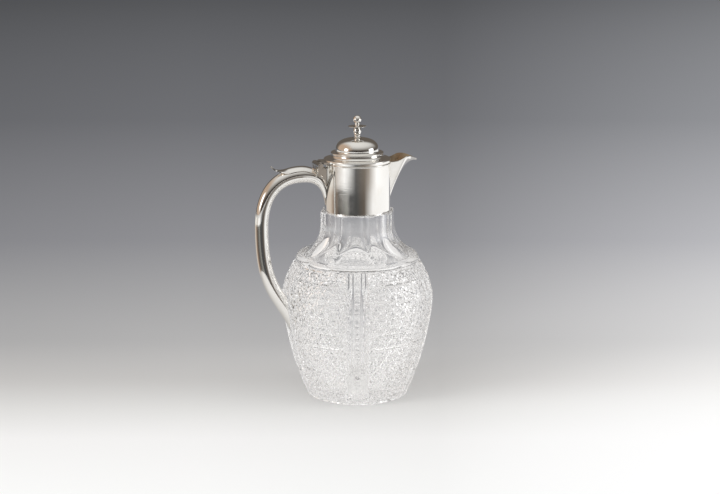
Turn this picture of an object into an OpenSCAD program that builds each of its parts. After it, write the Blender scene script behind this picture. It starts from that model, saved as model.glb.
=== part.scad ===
// Claret jug: a cut-glass body with a silver collar, beak spout, hollow loop handle
// and a hinged domed lid. Z is up, the spout points to +X and the handle is on -X.
// The origin is on the jug's axis, on the face that it stands on. Sizes in millimetres.

/* [Glass body] */
// Radius of the flat foot
foot_r = 44; // [41:0.5:46]
// Height of the bevel round the foot
foot_edge = 3; // [1:0.5:5]
// Largest radius of the belly
belly_r = 66; // [64:0.5:69]
// Height of the belly's widest point
belly_z = 86; // [82:1:90]
// Radius at the foot of the shoulder ring
shoulder_r = 53.4; // [52:0.2:55]
// Height of the foot of the shoulder ring
shoulder_z = 120; // [118:0.5:122]
// Height of the ledge where the glass neck meets the silver collar
ledge_z = 163; // [158:1:168]
// Distance from the axis to a flat panel of the neck
neck_apothem = 30.9; // [30:0.1:32]
// Number of flat panels cut on the neck
neck_panels = 8; // [6:1:12]
// Thickness of the belly's wall
glass_wall = 6.6; // [5:0.2:8]
// Thickness of the glass under the wine
base_thick = 11; // [8:0.5:16]
// Radius of the bore through the neck
bore_r = 23.5; // [21:0.5:24]
// Number of plain flute strips down the body
flute_count = 5; // [3:1:8]
// Width of one flute strip at the belly
flute_w = 20; // [14:0.5:22]

/* [Cut diamonds] */
// Number of diamonds across one panel between two flutes
net_columns = 6; // [4:1:8]
// Number of diamonds up the side of the belly
net_rows = 10; // [7:1:12]
// Depth of the cuts between the diamonds
net_depth = 1; // [0.5:0.1:1.5]

/* [Shoulder ring] */
// Width of the ring measured up the slope
ring_w = 7.5; // [6:0.1:8]
// How far the ring stands proud of the shoulder
ring_proud = 1.3; // [0.5:0.1:1.6]

/* [Silver collar] */
// Outer radius of the collar
collar_r = 28.5; // [28:0.1:29]
// Thickness of the collar's sheet
collar_wall = 0.9; // [0.7:0.1:1.2]
// Length of collar that shows, from the ledge to the lid's seat
collar_h = 42.6; // [40:0.2:46]
// Length of glass neck that stands up inside the collar
spigot_h = 13; // [10:0.5:13]
// Thickness of the plaster between glass and collar
plaster_t = 1.2; // [0.8:0.1:1.6]
// Thickness of the half-round wire at the collar's mouth
rim_wire = 1.4; // [1:0.1:2]
// Height of the bearing ring inside the collar's mouth
bezel_h = 3; // [2:0.5:4]

/* [Spout] */
// How far the lip reaches from the axis
spout_reach = 55.1; // [50:0.5:60]
// Half width of the beak at its widest
spout_half_w = 12.6; // [10:0.2:13.5]
// Depth of the beak on the collar
spout_depth = 29; // [24:0.5:30]
// Height of the beak's crest over the lid's seat
spout_crest = 3.6; // [2:0.2:6]
// Thickness of the beak's sheet
spout_wall = 1.2; // [1:0.1:1.6]

/* [Lid] */
// Radius of the lid's flange
lid_r = 29; // [28.8:0.1:29.2]
// Thickness of the flange's edge
flange_t = 3; // [2.4:0.1:3.6]
// Radius of the bead between moulding and dome
bead_r = 22.8; // [22:0.1:23.6]
// Height of the bead over the flange's top
bead_rise = 4.6; // [4:0.2:5.2]
// Thickness of the bead's wire
bead_wire = 1.6; // [1.2:0.1:2]
// Radius of the dome above its flared foot
dome_r = 17.4; // [16.4:0.1:18.4]
// Height of the dome over the bead
dome_h = 11.6; // [10:0.2:13]
// Thickness of the lid's sheet
lid_wall = 0.9; // [0.7:0.1:1.2]
// Depth of the locating ring that drops inside the collar
locate_h = 2.4; // [1.5:0.1:3]

/* [Finial] */
// Height of the finial over the dome
finial_h = 20.6; // [18:0.2:23]
// Largest radius of the turned stem
stem_r = 3.4; // [3:0.1:3.8]
// Radius of the flat disc
disc_r = 8; // [7:0.2:9]
// Radius of the ball on top
ball_r = 3.6; // [3:0.1:4]
// Radius of the screw stud under the stem
stud_r = 1.5; // [1.2:0.1:1.8]
// Width of the square nut across its flats
nut_w = 7; // [6:0.2:8]

/* [Hinge] */
// Gap from the collar to the hinge's axis
hinge_out = 7; // [6.6:0.1:7.6]
// Depth of the hinge's axis below the lid's seat
hinge_drop = 1; // [0.6:0.1:1.4]
// Radius of the knuckles
knuckle_r = 2.4; // [2.2:0.1:2.6]
// Length of the whole barrel
barrel_w = 19; // [16:0.5:22]
// Radius of the hinge pin
pin_r = 1; // [0.8:0.1:1.2]
// Thickness of the lid's hinge leaf
leaf_t = 1.6; // [1.4:0.1:2]

/* [Handle] */
// How far the tube's centre reaches from the axis
handle_reach = 85.6; // [82:0.2:90]
// Height of the furthest point of the handle
handle_reach_z = 152; // [148:1:156]
// Distance from the axis to the top of the loop
handle_top_x = 50.8; // [48:0.2:54]
// Depth of the tube's centre at the top, below the lid's seat
handle_drop = 9.3; // [9:0.1:10]
// Tube diameter at the top of the loop
tube_top_d = 13.4; // [12:0.2:13.8]
// Tube diameter at the furthest point
tube_side_d = 11; // [10:0.2:12]
// Tube diameter where it meets the glass
tube_foot_d = 13; // [12:0.2:13.4]
// Tube diameter at the tail soldered to the collar
tube_tail_d = 3.4; // [3:0.1:4]
// Thickness of the handle's sheet
tube_wall = 1; // [0.8:0.1:1.2]
// Radius of the glass peg inside the handle's foot
peg_r = 3; // [2.6:0.1:3.4]

/* [Thumb rest] */
// Thickness of the strap over the handle
strap_t = 1.2; // [1:0.1:1.5]
// Half width of the strap, measured round the tube
strap_half_w = 6.6; // [5.5:0.1:7]
// How far the free tip reaches from the axis
tip_reach = 75.7; // [74:0.2:78]
// How far the free tip lies below the lid's seat
tip_drop = 1.8; // [1:0.2:3]

/* [Hidden] */
$fn = 96;

SILVER = [0.86, 0.86, 0.85];
GLASS = [0.86, 0.9, 0.9, 0.5];
PLASTER = [0.93, 0.92, 0.88];

// Clearance between pieces that are bedded or soldered together
seat_gap = 0.05;
// Clearance between the lid and what it closes on
lid_gap = 0.3;
// Running clearance of the hinge pin, on the radius
pin_gap = 0.05;
// Gap between neighbouring knuckles
knuckle_gap = 0.3;
// Steps along a curved profile
profile_steps = 12;
// A length that reaches past any face it has to cut
past = 200;

function bez(p, t) =
    pow(1 - t, 3) * p[0] + 3 * pow(1 - t, 2) * t * p[1] + 3 * (1 - t) * t * t * p[2] + pow(t, 3) * p[3];
function bez_line(p, steps) = [for (i = [0:steps]) bez(p, i / steps)];
// The points half way between those of bez_line
function bez_mid(p, steps) = [for (i = [0.5:1:steps]) bez(p, i / steps)];
function unit(v) = v / norm(v);
function mix(a, b, t) = a + (b - a) * t;
function smooth(t) = t * t * (3 - 2 * t);

// ---------------------------------------------------------------- glass
seat_z = ledge_z + collar_h;
ring_slope = 50;
ring_top = [shoulder_r - ring_w * cos(ring_slope), shoulder_z + ring_w * sin(ring_slope)];
ring_step = 0.8;
// The neck's blank is a little wider than the corners that the panels leave
blank_r = neck_apothem / cos(180 / neck_panels) + 0.8;
neck_straight_z = ledge_z - 9;

// How far the side swells from the foot, and how far it draws in and rises to the shoulder
swell = belly_r - foot_r;
draw_in = belly_r - shoulder_r;
rise = shoulder_z - belly_z;
belly_low = [[foot_r + 0.03 * swell, foot_edge], [foot_r + 0.63 * swell, 0.33 * belly_z],
             [belly_r, 0.9 * belly_z], [belly_r, belly_z]];
belly_high = [[belly_r, belly_z], [belly_r, belly_z + 0.32 * rise],
              [shoulder_r + 0.54 * draw_in, shoulder_z - 0.25 * rise], [shoulder_r, shoulder_z]];
neck_flare = [ring_top, ring_top + [-5, 5], [blank_r, ring_top[1] + 11], [blank_r, neck_straight_z]];
panel_flare = [ring_top + [0.4, 0.1], ring_top + [-7.5, 4.4],
               [neck_apothem, ring_top[1] + 10.4], [neck_apothem, neck_straight_z]];

// Outer outline of the round blank, from the foot to the ledge
blank_side = concat([[foot_r, 0]], bez_line(belly_low, profile_steps),
                    [for (p = bez_line(belly_high, profile_steps)) if (p[1] > belly_z) p]);
ring_side = [for (a = [0:30:180])
    mix([shoulder_r, shoulder_z], ring_top, (1 - cos(a)) / 2)
    + ring_proud * sin(a) * [sin(ring_slope), cos(ring_slope)] - [ring_step, 0] * (a == 0 ? 1 : 0)];
neck_side = concat([for (p = bez_line(neck_flare, profile_steps)) if (p[1] > ring_top[1]) p],
                   [[blank_r, ledge_z]]);

// Inner outline, the space that holds the wine
inner_r = belly_r - glass_wall;
neck_l = ledge_z - shoulder_z;
inner_low = [[0.82 * foot_r, base_thick], [foot_r + 0.27 * swell, base_thick + 0.2 * belly_z],
             [inner_r, 0.88 * belly_z], [inner_r, belly_z]];
inner_high = [[inner_r, belly_z], [inner_r, belly_z + 0.35 * rise],
              [inner_r - 0.76 * draw_in, shoulder_z - 0.3 * rise], [inner_r - 1.32 * draw_in, shoulder_z - 2]];
inner_neck = [inner_high[3], inner_high[3] + 0.2 * neck_l * [-1, 1],
              [bore_r, shoulder_z + 0.28 * neck_l], [bore_r, shoulder_z + 0.6 * neck_l]];
inner_side = concat(bez_line(inner_low, profile_steps),
                    [for (p = bez_line(inner_high, profile_steps)) if (p[1] > belly_z) p],
                    [for (p = bez_line(inner_neck, profile_steps)) if (p[1] > inner_neck[0][1]) p]);

spigot_top = ledge_z + spigot_h;
collar_in = collar_r - collar_wall;
spigot_r = collar_in - plaster_t;

module blank(gap = 0) {
    rotate_extrude()
        polygon(concat([[0, -gap]], [for (p = concat(blank_side, ring_side, neck_side)) p + [gap, 0]],
                       [[0, ledge_z]]));
}

// Everything inside the flat panels of the neck, taken two opposite panels at a time
module panel_slab() {
    half = concat([[1.1 * belly_r, 0], [1.1 * belly_r, panel_flare[0][1]]], bez_line(panel_flare, profile_steps),
                  [[neck_apothem, ledge_z]]);
    rotate([90, 0, 0])
        linear_extrude(height = 2 * past, center = true)
            polygon(concat(half, [for (i = [len(half) - 1:-1:0]) [-half[i][0], half[i][1]]]));
}

// The space outside one flute strip: a plane cut that follows the side
flute_depth = belly_r - sqrt(pow(belly_r, 2) - pow(flute_w / 2, 2));
module flute_cut() {
    side = [for (p = concat(bez_mid(belly_low, profile_steps), bez_mid(belly_high, profile_steps)))
        if (p[1] > flute_foot_z) p - [flute_depth, 0]];
    rotate([90, 0, 0])
        linear_extrude(height = 3 * flute_w, center = true)
            polygon(concat([[1.1 * belly_r, flute_foot_z]], [[side[0][0], flute_foot_z]], side,
                           [side[len(side) - 1] + [0, 1]], [[1.1 * belly_r, shoulder_z + 1]]));
}
flute_foot_z = 24;

// The side of the belly by the length run along it, from the foot's bevel to the ring
belly_side = [for (p = blank_side) if (p[1] > 0) p];
function run(i) = i == 0 ? 0 : run(i - 1) + norm(belly_side[i] - belly_side[i - 1]);
run_r = [for (i = [0:len(belly_side) - 1]) [run(i), belly_side[i][0]]];
run_z = [for (i = [0:len(belly_side) - 1]) [run(i), belly_side[i][1]]];
side_run = run(len(belly_side) - 1);

// The net of cuts runs over a grid with two steps to a diamond each way. Cuts cross where both
// counts are even or both odd, the other places are the tops of diamonds, and i = net_i + 1 is
// the middle of the next flute, which a plane cut flattens.
net_i = 2 * net_columns;
net_j = 2 * net_rows;
net_edge = 0.2;
function net_point(k, i, j) =
    let (s = side_run * j / net_j, r = lookup(s, run_r), z = lookup(s, run_z))
    let (half = 180 / flute_count - acos((r - flute_depth + net_edge) / r))
    let (plain = i % net_i == 0 || i > net_i || j % net_j == 0 || (i + j) % 2 == 1)
    let (a = i > net_i ? 180 / flute_count : half * (i / net_columns - 1), cut_r = r - (plain ? 0 : net_depth))
    let (turn = 180 + (k + 0.5) * 360 / flute_count + a)
    [cut_r * cos(turn), cut_r * sin(turn), z];
function net_row(j) = [for (k = [0:flute_count - 1], i = [0:net_i + 1]) net_point(k, i, j)];
// A row drawn in to end inside the foot or the ring
function net_end(row, inwards, up) = [for (p = row) p - inwards * unit([p[0], p[1], 0]) + [0, 0, up]];

module cut_net() {
    n = flute_count * (net_i + 2);
    rows = concat([net_end(net_row(0), 1.2, -0.8)], [for (j = [0:net_j]) net_row(j)],
                  [net_end(net_row(net_j), 1.4, 1.2)]);
    last = len(rows) - 1;
    ends = [[0, 0, rows[0][0][2]], [0, 0, rows[last][0][2]]];
    skin = [for (q = [0:last - 1], m = [0:n - 1])
        let (a = q * n + m, b = q * n + (m + 1) % n)
        each ((q + m) % 2 == 1 ? [[a, b + n, b], [a, a + n, b + n]] : [[a, a + n, b], [b, a + n, b + n]])];
    caps = [for (m = [0:n - 1]) let (b = (m + 1) % n)
        each [[(last + 1) * n, m, b], [(last + 1) * n + 1, last * n + b, last * n + m]]];
    polyhedron(points = concat([for (row = rows) each row], ends), faces = concat(skin, caps), convexity = 6);
}

// The round foot and neck, joined by a core inside the space that holds the wine
module foot_and_neck() {
    rotate_extrude()
        polygon(concat([[0, 0], blank_side[0], mix(blank_side[0], blank_side[1], 0.87), [foot_r - 1.5, foot_edge]],
                       [[bore_r, foot_edge + 1], [bore_r, shoulder_z - 1], [shoulder_r - 2.5, shoulder_z - 0.5]],
                       ring_side, neck_side, [[0, ledge_z]]));
}

module cavity() {
    rotate_extrude()
        polygon(concat([[0, base_thick]], inner_side, [[bore_r, spigot_top + 1]], [[0, spigot_top + 1]]));
}

module glass_body() {
    color(GLASS)
    difference() {
        union() {
            difference() {
                union() {
                    intersection() {
                        foot_and_neck();
                        neck_prism();
                    }
                    cut_net();
                }
                for (i = [0:flute_count - 1])
                    rotate([0, 0, 180 + i * 360 / flute_count])
                        flute_cut();
            }
            translate([0, 0, ledge_z - 1])
                cylinder(r = spigot_r, h = spigot_h + 1);
            peg(peg_r, 0, peg_l);
        }
        cavity();
    }
}

module neck_prism() {
    intersection_for(i = [0:neck_panels / 2 - 1])
        rotate([0, 0, (i + 0.5) * 360 / neck_panels])
            panel_slab();
}

module neck_bedding() {
    color(PLASTER)
    translate([0, 0, ledge_z])
    difference() {
        cylinder(r = collar_in, h = spigot_h);
        translate([0, 0, -1])
            cylinder(r = spigot_r, h = spigot_h + 2);
    }
}

// ---------------------------------------------------------------- collar and spout
rim_drop = 0.2;
rim_z = seat_z - rim_drop - rim_wire;
spout_foot_z = seat_z - spout_depth;
mouth_foot_z = spout_foot_z + 5.5;
mouth_top_z = seat_z - bezel_h - 1.5;
mouth_half_w = 6;

module collar() {
    color(SILVER)
    difference() {
        translate([0, 0, ledge_z])
            cylinder(r = collar_r, h = collar_h);
        translate([0, 0, ledge_z - 1])
            cylinder(r = collar_in, h = collar_h + 2);
        rotate([90, 0, 90])
            linear_extrude(height = past)
                polygon([[0, mouth_foot_z], [mouth_half_w, mouth_top_z], [-mouth_half_w, mouth_top_z]]);
    }
}

module collar_rim() {
    color(SILVER)
    difference() {
        rotate_extrude()
            translate([collar_r, rim_z + rim_wire / 2])
                difference() {
                    circle(d = rim_wire, $fn = 32);
                    translate([-rim_wire, -rim_wire])
                        square([rim_wire, 2 * rim_wire]);
                }
        translate([0, -rim_break_w / 2, rim_z - 1])
            cube([past, rim_break_w, rim_wire + 2]);
    }
}
// The wire stops at the beak
rim_break_w = 2 * spout_half_w + 1;

module collar_bezel() {
    color(SILVER)
    translate([0, 0, seat_z - bezel_h])
    difference() {
        cylinder(r = collar_in, h = bezel_h);
        translate([0, 0, -1])
            cylinder(r = collar_in - collar_wall, h = bezel_h + 2);
    }
}

// The beak: half of it is a sheet between the keel line and the rim line, mirrored in Y.
// u runs from the collar (0) to the lip (1), v from the keel (0) to the rim (1).
spout_steps = 14;
spout_rows = 8;
spout_root_a = 22;
lip_droop = 0.2;
spout_root_z = seat_z - 0.6;
keel_line = [[collar_r, 0, spout_foot_z], [collar_r + 9.5, 0, spout_foot_z + 15.5],
             [spout_reach - 12, 0, seat_z - 1.6], [spout_reach - 0.6, 0, seat_z - lip_droop - spout_wall]];
rim_line = [[collar_r * cos(spout_root_a), collar_r * sin(spout_root_a), spout_root_z],
            [collar_r + 14.5, spout_half_w * 1.27, seat_z - 0.2],
            [collar_r + 9, spout_half_w * 0.86, seat_z + spout_crest * 2.2],
            [spout_reach, 0, seat_z - lip_droop]];

// A point of the outer skin; the fullness rounds the V of the section
function beak_out(u, v) =
    let (k = bez(keel_line, u), r = bez(rim_line, u))
    let (full = 1.1 * sin(180 * v) * (1 - u) * min(1, 4 * u))
    let (p = mix(k, r, v) + full * [0.5, 0.8, -0.3])
    u == 0
        ? let (a = asin(r[1] * v / collar_r))
          [(collar_r + seat_gap) * cos(a), (collar_r + seat_gap) * sin(a), mix(k[2], r[2], v)]
        : p;
// The inner skin lies one sheet thickness inside the outer one
function beak_in(u, v) =
    let (e = 0.02, u1 = min(1 - e, max(e, u)), v1 = min(1 - e, max(e, v)))
    let (du = beak_out(u1 + e, v1) - beak_out(u1 - e, v1), dv = beak_out(u1, v1 + e) - beak_out(u1, v1 - e))
    let (n = unit(cross(du, dv)), p = beak_out(u, v), t = spout_wall * (u == 1 ? 0.6 : 1))
    let (q = p + t * (v == 0 ? unit([n[0], 0, n[2]]) / max(0.55, norm([n[0], 0, n[2]])) : n))
    let (root = collar_r + seat_gap)
    u > 0 ? q : let (a = atan2(q[1], q[0])) [root * cos(a), root * sin(a), q[2]];

function flip(p) = [p[0], -p[1], p[2]];
// One section, from the near rim down to the keel and up to the far rim
function beak_row(u, inner) =
    let (half = [for (j = [0:spout_rows]) inner ? beak_in(u, j / spout_rows) : beak_out(u, j / spout_rows)])
    concat([for (j = [spout_rows:-1:1]) flip(half[j])], half);

module spout() {
    n = 2 * spout_rows + 1;
    rows = spout_steps + 1;
    outer = [for (i = [0:spout_steps]) each beak_row(lip_share(i / spout_steps), false)];
    inner = [for (i = [0:spout_steps]) each beak_row(lip_share(i / spout_steps), true)];
    shift = rows * n;
    skin_out = [for (i = [0:rows - 2], j = [0:n - 2])
        each [[i * n + j, i * n + j + 1, (i + 1) * n + j + 1], [i * n + j, (i + 1) * n + j + 1, (i + 1) * n + j]]];
    skin_in = [for (f = skin_out) [f[2] + shift, f[1] + shift, f[0] + shift]];
    root = [for (j = [0:n - 2])
        each [[j, shift + j + 1, j + 1], [j, shift + j, shift + j + 1]]];
    end = (rows - 1) * n;
    lip = [for (j = [0:n - 2])
        each [[end + j, end + j + 1, end + shift + j + 1], [end + j, end + shift + j + 1, end + shift + j]]];
    edges = [for (i = [0:rows - 2], j = [0, n - 1])
        let (a = i * n + j, b = (i + 1) * n + j)
        each (j == 0 ? [[a, b, b + shift], [a, b + shift, a + shift]]
                     : [[a, b + shift, b], [a, a + shift, b + shift]])];
    color(SILVER)
        polyhedron(points = concat(outer, inner),
                   faces = [for (f = concat(skin_out, skin_in, root, lip, edges)) [f[2], f[1], f[0]]],
                   convexity = 6);
}
// The last section stops just short of the point, so that the lip stays a small round end
function lip_share(t) = 0.94 * t;

// ---------------------------------------------------------------- handle
hinge_x = -(collar_r + hinge_out);
hinge_z = seat_z - hinge_drop;
handle_top_z = seat_z - handle_drop;
tail_pt = [-(collar_r - 1.2), ledge_z + 6];
top_pt = [-handle_top_x, handle_top_z];
side_pt = [-handle_reach, handle_reach_z];
foot_pt = [-0.813 * belly_r, 0.69 * belly_z];
foot_dir = [0.4, -0.917];

tail_span = top_pt - tail_pt;
top_span = side_pt - top_pt;
side_span = side_pt[1] - foot_pt[1];
tail_arc = [tail_pt, tail_pt + [0, tail_span[1]], top_pt - [0.18 * tail_span[0], 0], top_pt];
top_arc = [top_pt, top_pt + [0.52 * top_span[0], 0], side_pt - [0, 0.74 * top_span[1]], side_pt];
side_arc = [side_pt, side_pt - [0, 0.63 * side_span], foot_pt - 0.41 * side_span * foot_dir, foot_pt];

handle_steps = 14;
// A place on the handle's centre line: s runs 0 to 1 up the tail, to 2 over the loop, to 3 down the side
function arc_of(s) = s < 1 ? tail_arc : s < 2 ? top_arc : side_arc;
function arc_t(s) = s < 3 ? s - floor(s) : 1;
function centre(s) = bez(arc_of(s), arc_t(s));
function along(s) =
    let (e = 0.004, a = arc_of(s), t = min(1 - e, max(e, arc_t(s))))
    unit(bez(a, t + e) - bez(a, t - e));
// The side of the tube away from the grip
function outward(s) = let (d = along(s)) [d[1], -d[0]];
function tube_r(s) =
    (s < 1 ? mix(tube_tail_d, tube_top_d, sin(90 * s))
     : s < 2 ? mix(tube_top_d, tube_side_d, smooth(s - 1))
     : mix(tube_side_d, tube_foot_d, smooth(min(1, s - 2)))) / 2;

function ring_at(s, r, sides) =
    let (c = centre(s), n = outward(s))
    [for (k = [0:sides - 1]) let (a = 360 * k / sides)
        [c[0] + r * cos(a) * n[0], r * sin(a), c[1] + r * cos(a) * n[1]]];

module handle_pipe() {
    sides = 20;
    rows = 3 * handle_steps + 1;
    stations = [for (i = [0:rows - 1]) i / handle_steps];
    outer = [for (s = stations) each ring_at(s, tube_r(s), sides)];
    inner = [for (s = stations) each ring_at(s, tube_r(s) - tube_wall, sides)];
    shift = rows * sides;
    skin_out = [for (i = [0:rows - 2], k = [0:sides - 1])
        let (a = i * sides + k, b = i * sides + (k + 1) % sides)
        each [[a, b, b + sides], [a, b + sides, a + sides]]];
    skin_in = [for (f = skin_out) [f[2] + shift, f[1] + shift, f[0] + shift]];
    end = (rows - 1) * sides;
    tail_end = [for (k = [0:sides - 1]) let (b = (k + 1) % sides)
        each [[k, shift + k, shift + b], [k, shift + b, b]]];
    foot_end = [for (k = [0:sides - 1]) let (a = end + k, b = end + (k + 1) % sides)
        each [[a, b, b + shift], [a, b + shift, a + shift]]];
    polyhedron(points = concat(outer, inner), faces = concat(skin_out, skin_in, tail_end, foot_end),
               convexity = 10);
}

module handle() {
    color(SILVER)
    difference() {
        handle_pipe();
        blank(seat_gap);
        translate([0, 0, ledge_z - 1])
            cylinder(r = collar_r + seat_gap, h = collar_h + 2);
    }
}

// Radius of the blank at a height
function side_r(z) = lookup(z, [for (p = blank_side) [p[1], p[0]]]);
// The place between two others where the handle's centre line goes into the belly
function belly_s(from, to, halvings) =
    let (s = (from + to) / 2, c = centre(s))
    halvings == 0 ? s : -c[0] > side_r(c[1]) ? belly_s(s, to, halvings - 1) : belly_s(from, s, halvings - 1);

// The glass peg and its cement lie on the handle's centre line where it meets the belly
peg_s = belly_s(2, 3, 12);
peg_l = 9;
peg_root = 6;
bedding_l = 12;
bedding_r = tube_r(peg_s) - tube_wall - 0.7;

module peg(r, from, to) {
    c = centre(peg_s);
    d = along(peg_s);
    translate([c[0], 0, c[1]])
        rotate([0, atan2(-d[0], -d[1]), 0])
            translate([0, 0, from - peg_root])
                cylinder(r = r, h = to - from + peg_root, $fn = 48);
}

module handle_bedding() {
    color(PLASTER)
    difference() {
        peg(bedding_r, -2 * bedding_l, bedding_l);
        peg(peg_r + seat_gap, -3 * bedding_l, peg_l + seat_gap);
        blank(seat_gap);
    }
}

// ---------------------------------------------------------------- thumb rest
// A saddle strap lies on the loop and its pointed end curls free of the tube
strap_from = 0.42;
strap_to = 1.24;
strap_rows = 14;
curl_rows = 10;
strap_sides = 8;
tip_half_w = 0.5;
function crest(s) = centre(s) + (tube_r(s) + seat_gap) * outward(s);
leave = crest(strap_to);
tip = [-tip_reach, seat_z - tip_drop];
curl_l = norm(tip - leave);
curl = [leave, leave + 0.36 * curl_l * along(strap_to), tip + curl_l * [0.24, -0.32], tip];
// Each station: a crest point, the way up from it, the section's radius and its half width
function strap_station(i) = i <= strap_rows
    ? let (s = mix(strap_from, strap_to, i / strap_rows))
      [crest(s), outward(s), tube_r(s) + seat_gap, strap_half_w * min(1, 0.78 + 0.22 * i / 3)]
    : let (t = (i - strap_rows) / curl_rows, e = 0.004, t1 = min(1 - e, t))
      let (d = unit(bez(curl, t1 + e) - bez(curl, t1 - e)))
      [bez(curl, t), [d[1], -d[0]], (tube_r(strap_to) + seat_gap) * (1 + 3 * t),
       mix(strap_half_w, tip_half_w, pow(t, 0.8))];
function strap_row(i, lift) =
    let (q = strap_station(i), c = q[0] - q[2] * q[1], r = q[2] + lift)
    [for (k = [-strap_sides / 2:strap_sides / 2])
        let (a = (q[3] / q[2]) * (180 / PI) * 2 * k / strap_sides)
        [c[0] + r * cos(a) * q[1][0], r * sin(a), c[1] + r * cos(a) * q[1][1]]];

module thumb_rest() {
    n = strap_sides + 1;
    rows = strap_rows + curl_rows + 1;
    low = [for (i = [0:rows - 1]) each strap_row(i, 0)];
    high = [for (i = [0:rows - 1]) each strap_row(i, strap_t)];
    shift = rows * n;
    under = [for (i = [0:rows - 2], k = [0:n - 2]) let (a = i * n + k)
        each [[a, a + n + 1, a + 1], [a, a + n, a + n + 1]]];
    over = [for (f = under) [f[2] + shift, f[1] + shift, f[0] + shift]];
    sides = [for (i = [0:rows - 2], k = [0, n - 1]) let (a = i * n + k, b = a + n)
        each (k == 0 ? [[a, b + shift, b], [a, a + shift, b + shift]]
                     : [[a, b, b + shift], [a, b + shift, a + shift]])];
    end = (rows - 1) * n;
    ends = [for (k = [0:n - 2])
        each [[k, k + 1, k + 1 + shift], [k, k + 1 + shift, k + shift],
              [end + k, end + k + 1 + shift, end + k + 1], [end + k, end + k + shift, end + k + 1 + shift]]];
    color(SILVER)
        polyhedron(points = concat(low, high), faces = concat(under, over, sides, ends), convexity = 6);
}

// ---------------------------------------------------------------- hinge
knuckles = 5;
knuckle_l = (barrel_w - (knuckles - 1) * knuckle_gap) / knuckles;
function knuckle_y(i) = -barrel_w / 2 + i * (knuckle_l + knuckle_gap);

module along_hinge(y, length) {
    translate([hinge_x, y, hinge_z])
        rotate([-90, 0, 0])
            linear_extrude(height = length)
                mirror([0, 1])
                    children();
}

lug_t = 2.4;
lug_drop = 12;
lug_s = 0.5;

// Fixed knuckles, each on a short web that stands on the strap
module hinge_lug() {
    c = centre(lug_s);
    d = along(lug_s);
    saddle_r = tube_r(lug_s) + strap_t + 3 * seat_gap;
    color(SILVER)
    difference() {
        for (i = [0:2:knuckles - 1])
            along_hinge(knuckle_y(i), knuckle_l)
                union() {
                    circle(r = knuckle_r, $fn = 48);
                    translate([-knuckle_r, -lug_drop])
                        square([lug_t, lug_drop]);
                }
        along_hinge(-barrel_w, 2 * barrel_w)
            circle(r = pin_r + pin_gap, $fn = 48);
        translate([c[0], 0, c[1]])
            rotate([0, atan2(d[0], d[1]), 0])
                cylinder(r = saddle_r, h = past, center = true);
        translate([hinge_x - past / 2, -past / 2, hinge_z - lug_drop - 1])
            cube([past, past, lug_drop - lug_foot]);
    }
}
lug_foot = 8;

module hinge_pin() {
    head_l = 0.8;
    color(SILVER)
    union() {
        along_hinge(-barrel_w / 2 - head_l - seat_gap, barrel_w + 2 * (head_l + seat_gap))
            circle(r = pin_r, $fn = 48);
        for (y = [-barrel_w / 2 - head_l - seat_gap, barrel_w / 2 + seat_gap])
            along_hinge(y, head_l)
                circle(r = pin_r + 0.7, $fn = 48);
    }
}

// ---------------------------------------------------------------- lid
flange_top = seat_z + flange_t;
bead_z = flange_top + bead_rise;
dome_top = bead_z + dome_h;
locate_r = collar_in - collar_wall - lid_gap;

// A flat ring; its corners are eased by a quarter round at the top
module lid_flange() {
    ease = flange_t / 3;
    color(SILVER)
    rotate_extrude()
        polygon(concat([[locate_r - lid_wall, seat_z], [lid_r, seat_z]],
                       [for (a = [0:22.5:90]) [lid_r - ease + ease * cos(a), flange_top - ease + ease * sin(a)]],
                       [[locate_r - lid_wall, flange_top]]));
}

module lid_locating_ring() {
    color(SILVER)
    translate([0, 0, seat_z - locate_h])
    difference() {
        cylinder(r = locate_r, h = locate_h);
        translate([0, 0, -1])
            cylinder(r = locate_r - lid_wall, h = locate_h + 2);
    }
}

// Cavetto moulding, a sheet that sweeps in from the flange to the bead
foot_in = 2.2;
cove_outer = [[lid_r - foot_in, flange_top], [bead_r + 0.6, flange_top + 0.5],
              [bead_r - 0.5, flange_top + 1.5], [bead_r - 0.6, bead_z - bead_wire / 2]];
module lid_moulding() {
    outer = bez_line(cove_outer, profile_steps);
    color(SILVER)
    rotate_extrude()
        polygon(concat(outer, [for (i = [profile_steps:-1:0]) outer[i] - [1.6 * lid_wall, 0]]));
}

module lid_bead() {
    color(SILVER)
    rotate_extrude()
        difference() {
            translate([bead_r - bead_wire / 2, bead_z])
                circle(d = bead_wire, $fn = 32);
            translate([bead_r - past - bead_wire, bead_z - past / 2])
                square([past, past]);
        }
    color(SILVER)
    translate([0, 0, bead_z - bead_wire / 2])
    difference() {
        cylinder(r = bead_r - bead_wire / 2, h = bead_wire);
        translate([0, 0, -1])
            cylinder(r = dome_foot_r - lid_wall, h = bead_wire + 2);
    }
}

// Dome: a flared foot on the bead, then a half ellipse up to the finial
dome_foot_r = bead_r - 2.6;
dome_spring_z = bead_z + bead_wire / 2 + 1.6;
dome_steps = 14;
function dome_side(t) = concat(
    [[dome_foot_r - t, bead_z + bead_wire / 2]],
    [for (a = [0:90 / dome_steps:90 - 90 / dome_steps])
        [(dome_r - t) * cos(a), dome_spring_z + (dome_top - t - dome_spring_z) * sin(a)]],
    [[stud_r + seat_gap, dome_top - t]]);
module lid_dome() {
    outer = dome_side(0);
    inner = dome_side(lid_wall);
    color(SILVER)
    rotate_extrude()
        polygon(concat(outer, [for (i = [len(inner) - 1:-1:0]) inner[i]]));
}

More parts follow.
